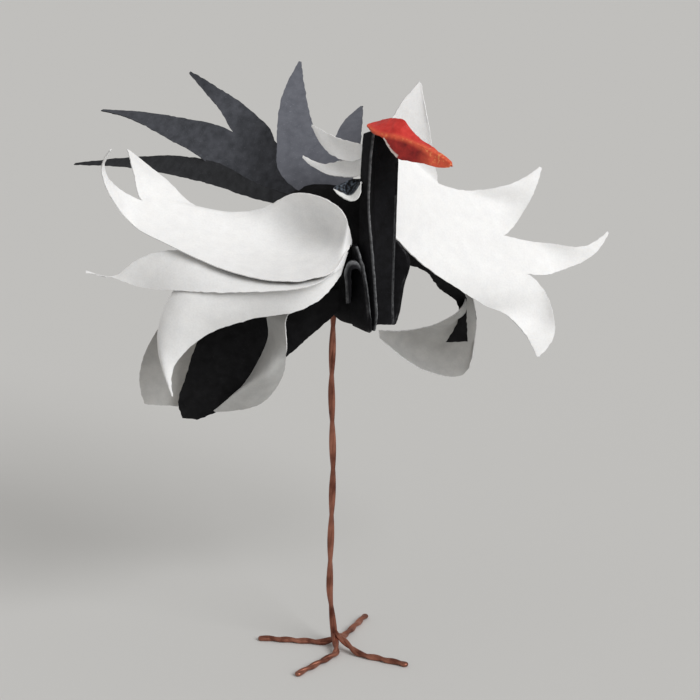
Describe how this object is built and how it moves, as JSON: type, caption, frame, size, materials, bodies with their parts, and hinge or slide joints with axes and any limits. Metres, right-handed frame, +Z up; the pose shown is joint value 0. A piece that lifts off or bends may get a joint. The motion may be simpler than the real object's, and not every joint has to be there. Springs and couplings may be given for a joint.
{
  "type": "paper crane",
  "caption": "Folded and slit paper crane with curled white and black feather strips, a red head and a copper wire leg with spread toes",
  "frame": {"origin": "On the floor, under the leg where its toes spread", "axes": "+X towards the side that the beak points to, +Y away from the near wing, from front to back, +Z up along the leg"},
  "size_m": [0.0911, 0.052, 0.0946],
  "materials": {
    "sheet_paper": "Thin two-colour paper, matt white inside and matt black outside, soft at the slit edges",
    "head_paper": "Crumpled red paper, matt, with lighter worn creases",
    "copper_wire": "Bare copper wire, drawn smooth and a little dulled"
  },
  "bodies": {
    "root": {"folded_sheet": "sheet_paper", "red_head": "head_paper", "leg_wire": "copper_wire"}
  },
  "joints": []
}
